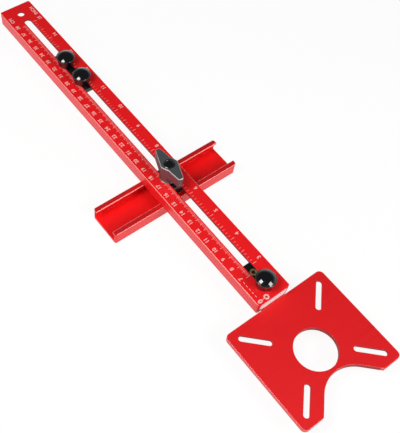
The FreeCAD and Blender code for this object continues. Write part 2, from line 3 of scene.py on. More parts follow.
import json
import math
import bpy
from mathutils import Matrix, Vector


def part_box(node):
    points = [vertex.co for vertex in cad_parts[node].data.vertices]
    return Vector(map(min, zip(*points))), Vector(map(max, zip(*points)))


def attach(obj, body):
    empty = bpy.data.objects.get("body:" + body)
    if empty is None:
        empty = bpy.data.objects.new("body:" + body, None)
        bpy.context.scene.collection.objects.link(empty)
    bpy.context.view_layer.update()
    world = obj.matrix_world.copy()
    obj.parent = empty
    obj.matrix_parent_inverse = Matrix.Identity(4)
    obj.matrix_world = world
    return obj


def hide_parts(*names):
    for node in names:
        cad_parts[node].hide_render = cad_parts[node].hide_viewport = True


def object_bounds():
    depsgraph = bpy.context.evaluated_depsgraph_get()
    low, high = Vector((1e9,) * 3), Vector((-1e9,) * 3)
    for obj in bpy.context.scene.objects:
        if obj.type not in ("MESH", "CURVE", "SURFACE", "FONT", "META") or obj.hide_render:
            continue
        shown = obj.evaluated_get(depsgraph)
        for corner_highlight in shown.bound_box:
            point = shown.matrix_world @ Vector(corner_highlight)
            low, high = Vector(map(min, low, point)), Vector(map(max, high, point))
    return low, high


bl_info = {
    "name": "Router circle jig",
    "version": (1, 0, 0),
    "blender": (4, 5, 0),
    "location": "3D View > Sidebar > Circle Jig",
    "description": "Dresses the router circle cutting jig and builds its knobs, scale and stage",
    "category": "Object",
}

import bmesh
import bpy
from mathutils import Matrix, Vector

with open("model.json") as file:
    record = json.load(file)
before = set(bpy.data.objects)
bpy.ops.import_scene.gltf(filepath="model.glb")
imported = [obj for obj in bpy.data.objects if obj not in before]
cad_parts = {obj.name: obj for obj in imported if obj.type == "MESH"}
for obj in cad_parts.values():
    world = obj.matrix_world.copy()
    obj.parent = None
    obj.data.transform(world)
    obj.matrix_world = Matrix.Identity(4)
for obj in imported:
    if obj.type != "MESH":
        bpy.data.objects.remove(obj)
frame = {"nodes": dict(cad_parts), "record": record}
CAD_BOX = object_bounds()
MM = 0.001
CENTIMETRE = 10 * MM
INCH = 25.4 * MM
RAIL_LOW, RAIL_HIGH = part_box("bar_rail")
RAIL_TOP = RAIL_HIGH.z


# Small helpers

def linear(hex_colour):
    """Linear colour of an sRGB hex value."""
    parts = [int(hex_colour[i:i + 2], 16) / 255 for i in (1, 3, 5)]
    straight = [p / 12.92 if p <= 0.04045 else ((p + 0.055) / 1.055) ** 2.4 for p in parts]
    return (*straight, 1.0)


def add_node(tree, kind, inputs=None, **settings):
    """Adds a node. Each input is a value, or a (node, output) pair to link from."""
    node = tree.nodes.new(kind)
    for name, value in settings.items():
        setattr(node, name, value)
    for socket, value in (inputs or {}).items():
        if isinstance(value, tuple) and isinstance(value[0], bpy.types.Node):
            tree.links.new(value[0].outputs[value[1]], node.inputs[socket])
        else:
            node.inputs[socket].default_value = value
    return node


def new_material(name):
    """Empty node material, and its object coordinates, which are metres of the part's frame."""
    material = bpy.data.materials.new(name)
    material.use_nodes = True
    tree = material.node_tree
    tree.nodes.clear()
    place = add_node(tree, "ShaderNodeTexCoord")
    return material, tree, place


def finish_material(tree, shader):
    add_node(tree, "ShaderNodeOutputMaterial", {"Surface": (shader, "BSDF")})


# The next helpers each add one node and give the (node, output) pair to link from

def calculate(tree, operation, *values):
    node = add_node(tree, "ShaderNodeMath", dict(enumerate(values)), operation=operation)
    return node, "Value"


def remap(tree, value, from_range, to_range):
    node = add_node(tree, "ShaderNodeMapRange", {
        "Value": value, "From Min": from_range[0], "From Max": from_range[1],
        "To Min": to_range[0], "To Max": to_range[1]})
    return node, "Result"


def blend(tree, share, first, second):
    """Mix of two colours. The mix node's colour sockets are its inputs 6 and 7 and its output 2."""
    node = add_node(tree, "ShaderNodeMix", {0: share, 6: first, 7: second}, data_type="RGBA")
    return node, 2


def noise(tree, place, scale, detail=2.0, roughness=0.5):
    """Clouds in the part's frame. A scale of 1000 makes them about a millimetre wide."""
    node = add_node(tree, "ShaderNodeTexNoise", {
        "Vector": (place, "Object"), "Scale": scale, "Detail": detail, "Roughness": roughness})
    return node, "Fac"


def soft_edges(tree, radius, samples):
    """Normal that rounds each edge by a radius."""
    node = add_node(tree, "ShaderNodeBevel", {"Radius": radius}, samples=samples)
    return node, "Normal"


def bumps(tree, height, strength, distance, normal=None):
    inputs = {"Height": height, "Strength": strength, "Distance": distance}
    if normal:
        inputs["Normal"] = normal
    return add_node(tree, "ShaderNodeBump", inputs), "Normal"


# Where a noise spends most of its values
NOISE_SPAN = (0.3, 0.7)


def toned(colour, factor):
    """The same linear colour, lighter or darker by a factor."""
    return tuple(min(1.0, c * factor) for c in colour[:3]) + (1.0,)


def dress(node_name, material):
    """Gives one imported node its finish."""
    mesh = frame["nodes"][node_name].data
    mesh.materials.clear()
    mesh.materials.append(material)


def new_piece(name, bm, material, body, smooth=False):
    """Turns a bmesh into a piece that rides on a body."""
    mesh = bpy.data.meshes.new(name)
    bm.to_mesh(mesh)
    bm.free()
    mesh.materials.append(material)
    for face in mesh.polygons:
        face.use_smooth = smooth
    piece = bpy.data.objects.new(name, mesh)
    bpy.context.scene.collection.objects.link(piece)
    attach(piece, body)
    return piece


# Sizes and colours that a user would change

class JigFinishes(bpy.types.PropertyGroup):
    rail_red: bpy.props.StringProperty(
        name="Rail red", description="Dye of the anodised rail, sRGB hex", default="#F8040E")
    plate_red: bpy.props.StringProperty(
        name="Plate red", description="Dye of the anodised plate, sRGB hex", default="#E6040E")
    fence_red: bpy.props.StringProperty(
        name="Fence red", description="Dye of the anodised fence, sRGB hex", default="#FF0006")
    # Painted shade: deep red for milled walls, flanks and the fence's lip tops
    milled_red: bpy.props.StringProperty(
        name="Milled red", description="Dye on milled slot and edge faces, sRGB hex",
        default="#96080F")
    # Painted highlight: pale red for rounded corners
    corner_pale: bpy.props.StringProperty(
        name="Corner pale", description="Thin dye on rounded corners, sRGB hex", default="#FFA8A0")
    milled_face: bpy.props.StringProperty(
        name="Milled face", description="Bare aluminium of the tongue block, sRGB hex",
        default="#FBF4F2")
    engraving: bpy.props.StringProperty(
        name="Engraving", description="Marks that the laser left pale, sRGB hex", default="#F6B2AC")
    knob_black: bpy.props.StringProperty(
        name="Knob black", description="Moulded domed knobs, sRGB hex", default="#07080A")
    nylon_black: bpy.props.StringProperty(
        name="Nylon black", description="Sliding blocks and washers, sRGB hex", default="#050506")
    coat_black: bpy.props.StringProperty(
        name="Coat black", description="Powder coat on the wing knob, sRGB hex", default="#3C4244")
    coat_flank: bpy.props.StringProperty(
        name="Coat flank", description="Thin coat on the wing knob's flanks, sRGB hex",
        default="#75686A")
    coat_rubbed: bpy.props.StringProperty(
        name="Coat rubbed", description="Metal bared on the wing knob's bevels, sRGB hex",
        default="#B4A9AA")
    brass: bpy.props.StringProperty(
        name="Brass", description="Threaded inserts, sRGB hex", default="#E6CB92")
    zinc: bpy.props.StringProperty(
        name="Zinc", description="Plated studs, screws and clamp, sRGB hex", default="#C9C9C6")


class JigScale(bpy.types.PropertyGroup):
    numeral_height: bpy.props.FloatProperty(
        name="Numeral height", description="Height of the scale's numerals", default=3.3 * MM,
        min=1 * MM, max=8 * MM, unit="LENGTH")
    line_width: bpy.props.FloatProperty(
        name="Line width", description="Width of a main engraved line", default=0.30 * MM,
        min=0.05 * MM, max=1 * MM, unit="LENGTH")
    fine_line: bpy.props.FloatProperty(
        name="Fine line", description="Width of a line between the main ones", default=0.19 * MM,
        min=0.05 * MM, max=1 * MM, unit="LENGTH")
    weight: bpy.props.FloatProperty(
        name="Weight", description="How much strokes are thickened, as a share of the height",
        default=0.025, min=0.0, max=0.1)
    stand_proud: bpy.props.FloatProperty(
        name="Stand proud", description="How far a mark stands above the rail", default=0.02 * MM,
        min=0.005 * MM, max=0.2 * MM, unit="LENGTH")
    numeral_lead: bpy.props.FloatProperty(
        name="Numeral lead", description="How far a numeral stands beyond its tick",
        default=1.7 * MM, unit="LENGTH")
    centimetre_row: bpy.props.FloatProperty(
        name="Centimetre row", description="Middle of the centimetre numerals, from the slot",
        default=11.7 * MM, unit="LENGTH")
    inch_row: bpy.props.FloatProperty(
        name="Inch row", description="Middle of the inch numerals, from the slot",
        default=-11.5 * MM, unit="LENGTH")
    first_centimetre: bpy.props.IntProperty(
        name="First centimetre", description="First numeral of the centimetre row", default=7)
    last_centimetre: bpy.props.IntProperty(
        name="Last centimetre", description="Last numeral of the centimetre row", default=38)
    first_inch: bpy.props.IntProperty(
        name="First inch", description="First numeral of the inch row", default=3)
    last_inch: bpy.props.IntProperty(
        name="Last inch", description="Last numeral of the inch row", default=15)


class JigKnobs(bpy.types.PropertyGroup):
    skirt_height: bpy.props.FloatProperty(
        name="Skirt height", description="Height of the flared skirt", default=8.4 * MM,
        unit="LENGTH")
    flare: bpy.props.FloatProperty(
        name="Flare", description="How much the foot is narrower than the rim",
        default=1.3 * MM, unit="LENGTH")
    rim_round: bpy.props.FloatProperty(
        name="Rim round", description="Rounding between skirt and dome", default=0.6 * MM,
        unit="LENGTH")
    stud_radius: bpy.props.FloatProperty(
        name="Stud radius", description="Hole for the stud", default=1.95 * MM, unit="LENGTH")
    segments: bpy.props.IntProperty(
        name="Segments", description="Steps round a knob", default=96, min=24, max=256)


class JigStage(bpy.types.PropertyGroup):
    camera_place: bpy.props.FloatVectorProperty(
        name="Camera place", description="Camera position", size=3, subtype="XYZ", unit="LENGTH",
        default=(-0.0728556, 0.2307710, 0.4801457))
    camera_turn: bpy.props.FloatVectorProperty(
        name="Camera turn", description="Camera rotation", size=3, subtype="EULER",
        default=tuple(math.radians(a) for a in (31.24215, -3.35154, -126.92364)))
    focal_length: bpy.props.FloatProperty(
        name="Focal length", description="Lens on a 36 mm sensor, in millimetres", default=60.41446)
    shift: bpy.props.FloatVectorProperty(
        name="Shift", description="Lens shift that the framing needs", size=2,
        default=(0.0980966, 0.0380545))
    floor_drop: bpy.props.FloatProperty(
        name="Floor drop", description="Gap between the lowest point and the floor",
        default=0.3 * MM, unit="LENGTH")
    paper_white: bpy.props.StringProperty(
        name="Paper white", description="Floor colour, sRGB hex", default="#F4F4F3")


# Materials

# Axis that an extrusion's lines run along
ALONG_X, ALONG_Y = 0, 1
# A height and a box in the part's frame, in metres, that no face of the jig reaches
ABOVE_ALL = 1.0
NOWHERE = ((-1, -1, 0), (-0.9, -0.9, 1))


def between(tree, place, low, high):
    """1 where the point's x and y lie between two corners, and 0 elsewhere."""
    middle = [(a + b) / 2 for a, b in zip(low, high)]
    half = [(b - a) / 2 for a, b in zip(low, high)]
    offset = add_node(
        tree, "ShaderNodeVectorMath", {0: (place, "Object"), 1: middle}, operation="SUBTRACT")
    share = add_node(
        tree, "ShaderNodeVectorMath", {0: (offset, "Vector"), 1: half}, operation="DIVIDE")
    spread = add_node(
        tree, "ShaderNodeVectorMath", {0: (share, "Vector")}, operation="ABSOLUTE")
    sides = add_node(tree, "ShaderNodeSeparateXYZ", {"Vector": (spread, "Vector")})
    widest = calculate(tree, "MAXIMUM", (sides, "X"), (sides, "Y"))
    return calculate(tree, "LESS_THAN", widest, 1.0)


def dyed_red(tree, place, tilt, milled_shade, dye_hex, corner_highlight, shaded_above):
    """Red of the dye, darkened by painted shade on milled walls, on flanks and on the fence's lip
    tops, and with a painted highlight of pale red on rounded corners.

    The tilt is 1 on level faces and 0 on upright ones.
    """
    finishes = bpy.context.scene.jig_finishes
    shade_red = linear(finishes.milled_red)
    # Dye takes unevenly over some centimetres
    cloud = noise(tree, place, 26.0)
    dye = linear(dye_hex)
    tint = blend(tree, cloud, toned(dye, 0.93), toned(dye, 1.05))
    upright = calculate(tree, "LESS_THAN", tilt, 0.3)
    flat = calculate(tree, "GREATER_THAN", tilt, 0.97)
    # Rounded corners lie between upright and flat: within 0.35 of 0.62
    rounded = calculate(tree, "COMPARE", tilt, 0.62, 0.35)
    level = add_node(tree, "ShaderNodeSeparateXYZ", {"Vector": (place, "Object")})
    # Painted shade on the fence's level lip tops, above the given level
    above = calculate(tree, "GREATER_THAN", (level, "Z"), shaded_above)
    lip_shade = calculate(tree, "MULTIPLY", above, flat)
    # Painted shade: a flank goes 0.3 of the way to the shade red, and a level lip top of the fence
    # 0.6
    flank = calculate(tree, "MULTIPLY", upright, 0.3)
    painted_shade = calculate(tree, "MULTIPLY_ADD", lip_shade, 0.6, flank)
    red_with_shade = blend(tree, painted_shade, tint, shade_red)
    # Painted highlight: rounded corners go towards a pale red, by the corner highlight's share
    highlight_share = calculate(tree, "MULTIPLY", rounded, corner_highlight)
    red_with_highlight = blend(tree, highlight_share, red_with_shade, linear(finishes.corner_pale))
    # Painted shade: walls in the milled box take the shade red fully
    return blend(tree, milled_shade, red_with_highlight, shade_red)


def anodised_aluminium(
        name, dye_hex, oxide, corner_highlight, lines_along, milled_shade_box, shaded_above=ABOVE_ALL):
    """Aluminium, bead blasted and dyed red under a clear oxide.

    The blasting spreads every highlight, and the clear oxide mirrors the white room at a glancing
    view, so flanks turn pink. Walls in the milled box are smooth, and painted shade makes them
    deeper red.
    Painted shade also darkens the flanks a little, and the fence's level lip tops above the shaded
    level. Rounded corners carry a painted highlight: pale lines of lighter red.
    """
    material, tree, place = new_material(name)
    # Blasting grit leaves pits near 0.1 mm; they are drawn at 0.5 mm to show at this picture size
    grain = noise(tree, place, 2000.0, 3.0, 0.6)
    # Die lines lie a few tenths of a millimetre apart; drawn 0.8 mm apart and 80 mm long
    stretch = [1200.0, 1200.0, 1200.0]
    stretch[lines_along] = 12.0
    lined = add_node(
        tree, "ShaderNodeMapping", {"Vector": (place, "Object"), "Scale": stretch})
    lines = add_node(tree, "ShaderNodeTexNoise", {
        "Vector": (lined, "Vector"), "Scale": 1.0, "Detail": 2.0, "Roughness": 0.5})
    # In the milled box, every face that isn't nearly level was cut; painted shade darkens these
    # walls
    facing = add_node(tree, "ShaderNodeSeparateXYZ", {"Vector": (place, "Normal")})
    tilt = calculate(tree, "ABSOLUTE", (facing, "Z"))
    steep = calculate(tree, "LESS_THAN", tilt, 0.8)
    milled_shade = calculate(tree, "MULTIPLY", between(tree, place, *milled_shade_box), steep)
    colour = dyed_red(tree, place, tilt, milled_shade, dye_hex, corner_highlight, shaded_above)
    # The clear oxide is thin and dull where the cutter went
    clear = remap(tree, milled_shade, (0.0, 1.0), (oxide, 0.0))
    rough = remap(tree, (lines, "Fac"), NOISE_SPAN, (0.50, 0.56))
    # Extruded corners and milled rims are broken by a few tenths of a millimetre
    edges = soft_edges(tree, 0.3 * MM, 6)
    pits = bumps(tree, grain, 0.10, 0.05 * MM, edges)
    drawn = bumps(tree, (lines, "Fac"), 0.03, 0.04 * MM, pits)
    shader = add_node(tree, "ShaderNodeBsdfPrincipled", {
        "Base Color": colour, "Metallic": 0.3, "Roughness": rough, "Coat Weight": clear,
        "Coat Roughness": 0.25, "Normal": drawn, "Coat Normal": pits})
    finish_material(tree, shader)
    return material


def milled_aluminium():
    """Bare aluminium faced with an end mill and tumbled: pale, matt, with a faint haze."""
    material, tree, place = new_material("milled_aluminium")
    # The tumbling stones leave dents near 0.2 mm; they are drawn at 0.5 mm
    dents = noise(tree, place, 2000.0)
    # Cutting fluid and oxide leave a faint haze some millimetres wide
    haze = noise(tree, place, 350.0, 3.0)
    bare = linear(bpy.context.scene.jig_finishes.milled_face)
    shader = add_node(tree, "ShaderNodeBsdfPrincipled", {
        "Base Color": blend(tree, haze, toned(bare, 0.93), bare), "Metallic": 0.0,
        "Roughness": remap(tree, haze, NOISE_SPAN, (0.52, 0.6)),
        "Normal": bumps(tree, dents, 0.06, 0.03 * MM)})
    finish_material(tree, shader)
    return material


def laser_engraving():
    """Marks burnt through the dye by a laser: the bare oxide is chalky, pale and matt."""
    material, tree, place = new_material("laser_marked_oxide")
    # Laser passes 0.05 mm apart leave a faint mottle; drawn at 0.4 mm to show
    mottle = noise(tree, place, 2500.0)
    pale = linear(bpy.context.scene.jig_finishes.engraving)
    # 1.76 is the refractive index of aluminium oxide
    shader = add_node(tree, "ShaderNodeBsdfPrincipled", {
        "Base Color": blend(tree, mottle, toned(pale, 0.88), pale), "Metallic": 0.0,
        "Roughness": 0.62, "IOR": 1.76, "Normal": bumps(tree, mottle, 0.15, 0.02 * MM)})
    finish_material(tree, shader)
    return material


def moulded_phenolic(name, low_rough, high_rough, polish):
    """Phenolic pressed in a polished mould: deep black, glass-smooth above, less so at a skirt."""
    material, tree, place = new_material(name)
    # Sink and flow of the moulding, some millimetres wide, bends reflections a little
    flow = noise(tree, place, 260.0)
    # Handling smudges make patches less glossy
    smudge = noise(tree, place, 420.0, 4.0, 0.65)
    gloss = remap(tree, smudge, (0.35, 0.75), (low_rough, high_rough))
    # The skirt rubbed on the mould as it was drawn out, so it is a little less glossy than the dome
    facing = add_node(tree, "ShaderNodeSeparateXYZ", {"Vector": (place, "Normal")})
    satin = remap(tree, (facing, "Z"), (0.5, 0.2), (0.0, 0.08))
    buffed = remap(tree, (facing, "Z"), (0.2, 0.5), (0.0, polish))
    black = linear(bpy.context.scene.jig_finishes.knob_black)
    shader = add_node(tree, "ShaderNodeBsdfPrincipled", {
        "Base Color": blend(tree, smudge, black, toned(black, 1.7)),
        "Roughness": calculate(tree, "ADD", gloss, satin), "IOR": 1.55,
        "Coat Weight": buffed, "Coat Roughness": 0.06,
        "Normal": bumps(tree, flow, 0.06, 0.2 * MM)})
    finish_material(tree, shader)
    return material


def moulded_nylon():
    """Injection-moulded nylon with a spark-eroded mould skin: black, matt, slightly waxy."""
    material, tree, place = new_material("moulded_nylon")
    # Spark erosion leaves a skin near 0.15 mm; drawn at 0.35 mm
    skin = noise(tree, place, 2800.0)
    edges = soft_edges(tree, 0.3 * MM, 4)
    black = linear(bpy.context.scene.jig_finishes.nylon_black)
    shader = add_node(tree, "ShaderNodeBsdfPrincipled", {
        "Base Color": blend(tree, skin, toned(black, 0.8), toned(black, 1.5)),
        "Roughness": remap(tree, skin, NOISE_SPAN, (0.26, 0.36)), "IOR": 1.53,
        "Normal": bumps(tree, skin, 0.3, 0.05 * MM, edges)})
    finish_material(tree, shader)
    return material


def coated_casting():
    """Die-cast zinc with a thin black coat: satin on top, grey metal on bevels and flanks."""
    finishes = bpy.context.scene.jig_finishes
    material, tree, place = new_material("coated_zinc_casting")
    facing = add_node(tree, "ShaderNodeSeparateXYZ", {"Vector": (place, "Normal")})
    # Flanks keep a thinner coat than the top, because the knob was coated from above
    flank = remap(tree, (facing, "Z"), (0.97, 0.55), (0.0, 1.0))
    # The bevel lies between flat top and upright flank, and hands have polished it bright
    bevel = calculate(tree, "COMPARE", (facing, "Z"), 0.70, 0.22)
    base = blend(tree, flank, linear(finishes.coat_black), linear(finishes.coat_flank))
    colour = blend(tree, bevel, base, linear(finishes.coat_rubbed))
    # Casting skin near 0.3 mm; drawn at 0.6 mm
    skin = noise(tree, place, 1600.0, 3.0, 0.6)
    edges = soft_edges(tree, 0.35 * MM, 6)
    shader = add_node(tree, "ShaderNodeBsdfPrincipled", {
        "Base Color": colour, "Metallic": calculate(tree, "MAXIMUM", flank, bevel),
        "Roughness": remap(tree, skin, NOISE_SPAN, (0.42, 0.55)),
        "Normal": bumps(tree, skin, 0.12, 0.08 * MM, edges)})
    finish_material(tree, shader)
    return material


def turned_metal(name, hex_colour, low_rough, high_rough):
    """Metal turned on a lathe: fine rings round the axis, and softened corners."""
    material, tree, place = new_material(name)
    # Feed marks near 0.1 mm; drawn at 0.25 mm
    rings = add_node(tree, "ShaderNodeTexWave", {
        "Vector": (place, "Object"), "Scale": 1300.0, "Distortion": 1.5, "Detail": 2.0},
        wave_type="BANDS", bands_direction="Z")
    # Tarnish some millimetres wide dulls the gloss in patches
    haze = noise(tree, place, 500.0, 3.0)
    tone = linear(hex_colour)
    edges = soft_edges(tree, 0.2 * MM, 4)
    shader = add_node(tree, "ShaderNodeBsdfPrincipled", {
        "Base Color": blend(tree, haze, toned(tone, 0.85), tone), "Metallic": 1.0,
        "Roughness": remap(tree, haze, NOISE_SPAN, (low_rough, high_rough)),
        "Normal": bumps(tree, (rings, "Fac"), 0.1, 0.03 * MM, edges)})
    finish_material(tree, shader)
    return material


# Operators: one for each piece or group of like pieces, and one for the stage

# The slot's box: half its width, with room to spare, and its distance from the rail's two ends
SLOT_REACH = 4.5 * MM
SLOT_NEAR_INSET = 4 * MM
SLOT_FAR_INSET = 1 * MM
# Outer rim of the plate that kept its blasted skin, which the milled walls' painted shade leaves
# out
PLATE_SKIN = 2 * MM
# Depth below the fence's top within which level lip faces take painted shade
LIP_DEPTH = 2.0 * MM


class JIG_OT_dress_extrusions(bpy.types.Operator):
    """Gives rail, plate and fence their red anodised finish, and the tongue block its milled one"""
    bl_idname = "jig.dress_extrusions"
    bl_label = "Dress Extrusions"

    def execute(self, context):
        finishes = context.scene.jig_finishes
        # The rail is milled in its slot, away from its two ends
        slot_box = (
            (RAIL_LOW.x + SLOT_NEAR_INSET, -SLOT_REACH, 0),
            (RAIL_HIGH.x - SLOT_FAR_INSET, SLOT_REACH, 1),
        )
        # The plate is milled in its openings and at its back, and keeps its skin on the outer edges
        plate_low, plate_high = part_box("base_plate")
        skin = Vector((PLATE_SKIN, PLATE_SKIN, 0))
        # The fence is only sawn. Painted shade darkens the level tops of its lips
        fence_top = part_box("fence_channel")[1].z
        # Painted shade darkens the walls inside each milled box
        dress("bar_rail", anodised_aluminium(
            "anodised_rail_extrusion", finishes.rail_red, oxide=0.45, corner_highlight=0.75,
            lines_along=ALONG_X, milled_shade_box=slot_box))
        dress("base_plate", anodised_aluminium(
            "anodised_rolled_plate", finishes.plate_red, oxide=0.6, corner_highlight=0.3,
            lines_along=ALONG_Y, milled_shade_box=(plate_low + skin, plate_high - skin)))
        dress("fence_channel", anodised_aluminium(
            "anodised_fence_extrusion", finishes.fence_red, oxide=0.35, corner_highlight=0.75,
            lines_along=ALONG_Y, milled_shade_box=NOWHERE, shaded_above=fence_top - LIP_DEPTH))
        dress("tongue_block", milled_aluminium())
        return {"FINISHED"}


class JIG_OT_dress_fittings(bpy.types.Operator):
    """Gives the blocks, keys, washers, inserts, studs and screws their finishes"""
    bl_idname = "jig.dress_fittings"
    bl_label = "Dress Fittings"

    def execute(self, context):
        finishes = context.scene.jig_finishes
        nylon = moulded_nylon()
        brass = turned_metal("turned_brass", finishes.brass, 0.32, 0.45)
        zinc = turned_metal("zinc_plated_steel", finishes.zinc, 0.25, 0.4)
        by_slot = {"black_nylon": nylon, "brass": brass, "zinc_steel": zinc}
        dressed = 0
        for part in frame["record"]["subparts"]:
            if part["material_slot"] in by_slot:
                dress(part["node"], by_slot[part["material_slot"]])
                dressed += 1
        if dressed == 0:
            raise RuntimeError("no fitting carries a finish of nylon, brass or steel")
        return {"FINISHED"}


# Corners of each face of a bar, whose corners run through x, then y, then z
BAR_FACES = ((0, 1, 3, 2), (4, 6, 7, 5), (0, 4, 5, 1), (2, 3, 7, 6), (0, 2, 6, 4), (1, 5, 7, 3))
# How far a mark reaches down into the rail, so that no gap shows below it
SINK = 0.01 * MM


def add_bar(bm, low_x, high_x, low_y, high_y, low_z, high_z):
    """Engraved line or dash, as a thin closed bar."""
    points = [
        bm.verts.new((x, y, z))
        for x in (low_x, high_x) for y in (low_y, high_y) for z in (low_z, high_z)
    ]
    for loop in BAR_FACES:
        bm.faces.new([points[i] for i in loop])


def add_words(bm, words, middle_x, middle_y, height, proud, weight):
    """Adds plain lettering on the rail's top, centred on a point, as a thin raised shape."""
    curve = bpy.data.curves.new("lettering", "FONT")
    curve.body = words
    curve.size = 1.0
    curve.resolution_u = 3
    curve.offset = weight
    holder = bpy.data.objects.new("lettering", curve)
    bpy.context.scene.collection.objects.link(holder)
    bpy.context.view_layer.update()
    depsgraph = bpy.context.evaluated_depsgraph_get()
    shape = bpy.data.meshes.new_from_object(holder.evaluated_get(depsgraph))
    bpy.data.objects.remove(holder)
    bpy.data.curves.remove(curve)
    places = [v.co.copy() for v in shape.vertices]
    low = Vector((min(p.x for p in places), min(p.y for p in places), 0))
    high = Vector((max(p.x for p in places), max(p.y for p in places), 0))
    factor = height / (high.y - low.y)
    centre = (low + high) / 2
    move = (
        Matrix.Translation((middle_x, middle_y, RAIL_TOP + proud))
        @ Matrix.Scale(factor, 4)
        @ Matrix.Translation(-centre)
    )
    before = set(bm.faces)
    shape.transform(move)
    bm.from_mesh(shape)
    bpy.data.meshes.remove(shape)
    fresh = [f for f in bm.faces if f not in before]
    walls = bmesh.ops.extrude_face_region(bm, geom=fresh)
    sunk = [v for v in walls["geom"] if isinstance(v, bmesh.types.BMVert)]
    bmesh.ops.translate(bm, verts=sunk, vec=(0, 0, -proud - SINK))


# Ticks start at this distance from the rail's middle line, and reach to these. The keys of the two
# rows count the tenths of a centimetre and the eighths of an inch
TICK_FOOT = 4.1 * MM
CENTIMETRE_REACH = {0: 7.6 * MM, 5: 7.0 * MM}
MILLIMETRE_REACH = 6.2 * MM
INCH_REACH = {0: 7.4 * MM, 4: 6.7 * MM}
EIGHTH_REACH = 5.9 * MM
# Words at the far end: text and middle
UNIT_WORDS = (("CM", 392 * MM, 11.7 * MM), ("INCH", 393.2 * MM, -11.7 * MM))
UNIT_HEIGHT = 3.4 * MM
# Zero mark: a numeral, a stem from it to the ring round the zero hole, and a row of dashes
ZERO_NUMERAL = (49.5 * MM, 11.7 * MM)
ZERO_HEIGHT = 4.2 * MM
ZERO_WEIGHT = 1.6
STEM = (49.4 * MM, 49.8 * MM, 7.6 * MM, 9.4 * MM)
DASH_COUNT, DASH_START, DASH_PITCH, DASH_LENGTH = 5, 53.6 * MM, 3.3 * MM, 1.9 * MM
DASH_SIDES = (11.5 * MM, 11.9 * MM)
ZERO_HOLE = (49.7 * MM, 5.6 * MM)
# Inner and outer radius of the ring on top and at the bottom
RING_TOP = (0.98 * MM, 2.1 * MM)
RING_BOTTOM = (0.95 * MM, 2.2 * MM)
RING_STEPS = 40


def add_ring(bm, low, high):
    """Adds the flat ring round the zero hole, as a closed band."""
    profile = (
        (RING_TOP[0], high), (RING_TOP[1], high), (RING_BOTTOM[1], low), (RING_BOTTOM[0], low),
    )
    rings = []
    for radius, level in profile:
        rings.append([
            bm.verts.new((
                ZERO_HOLE[0] + radius * math.cos(2 * math.pi * i / RING_STEPS),
                ZERO_HOLE[1] + radius * math.sin(2 * math.pi * i / RING_STEPS),
                level,
            )) for i in range(RING_STEPS)
        ])
    for inner, outer in zip(rings, rings[1:] + rings[:1]):
        for i in range(RING_STEPS):
            j = (i + 1) % RING_STEPS
            bm.faces.new((inner[i], outer[i], outer[j], inner[j]))
    bmesh.ops.recalc_face_normals(bm, faces=bm.faces)


class JIG_OT_engrave_scale(bpy.types.Operator):
    """Engraves the two rows of ticks and numerals, the unit words and the zero mark on the rail"""
    bl_idname = "jig.engrave_scale"
    bl_label = "Engrave Scale"

    def execute(self, context):
        scale = context.scene.jig_scale
        ink = laser_engraving()
        proud = scale.stand_proud
        low = RAIL_TOP - SINK
        high = RAIL_TOP + proud

        for name, first, last, step, row in (
            ("centimetre_numerals", scale.first_centimetre, scale.last_centimetre,
             CENTIMETRE, scale.centimetre_row),
            ("inch_numerals", scale.first_inch, scale.last_inch, INCH, scale.inch_row),
        ):
            numerals = bmesh.new()
            for n in range(first, last + 1):
                add_words(
                    numerals, str(n), n * step + scale.numeral_lead, row,
                    scale.numeral_height, proud, scale.weight)
            new_piece(name, numerals, ink, "rail")

        ticks = bmesh.new()
        for n in range(scale.first_centimetre * 10, scale.last_centimetre * 10 + 1):
            reach = CENTIMETRE_REACH.get(n % 10, MILLIMETRE_REACH)
            half = (scale.fine_line if n % 5 else scale.line_width) / 2
            add_bar(ticks, n * MM - half, n * MM + half, TICK_FOOT, reach, low, high)
        new_piece("millimetre_ticks", ticks, ink, "rail")

        ticks = bmesh.new()
        for n in range(scale.first_inch * 8, scale.last_inch * 8 + 1):
            reach = INCH_REACH.get(n % 8, EIGHTH_REACH)
            half = (scale.fine_line if n % 4 else scale.line_width) / 2
            middle = n * INCH / 8
            add_bar(ticks, middle - half, middle + half, -reach, -TICK_FOOT, low, high)
        new_piece("inch_ticks", ticks, ink, "rail")

        words = bmesh.new()
        for text, middle_x, middle_y in UNIT_WORDS:
            add_words(words, text, middle_x, middle_y, UNIT_HEIGHT, proud, scale.weight)
        new_piece("unit_words", words, ink, "rail")

        zero = bmesh.new()
        add_words(zero, "0", *ZERO_NUMERAL, ZERO_HEIGHT, proud, ZERO_WEIGHT * scale.weight)
        add_bar(zero, *STEM, low, high)
        for i in range(DASH_COUNT):
            start = DASH_START + DASH_PITCH * i
            add_bar(zero, start, start + DASH_LENGTH, *DASH_SIDES, low, high)
        add_ring(zero, low, high)
        new_piece("zero_mark", zero, ink, "rail")
        return {"FINISHED"}


def arc_points(centre, radius, start, end, steps):
    """Points of an arc in a turning profile, angles in degrees."""
    points = []
    for i in range(steps + 1):
        angle = math.radians(start + (end - start) * i / steps)
        points.append((centre[0] + radius * math.cos(angle), centre[1] + radius * math.sin(angle)))
    return points


# A point of a turning profile nearer to the axis than this, in metres, lies on it
ON_AXIS = 1e-7


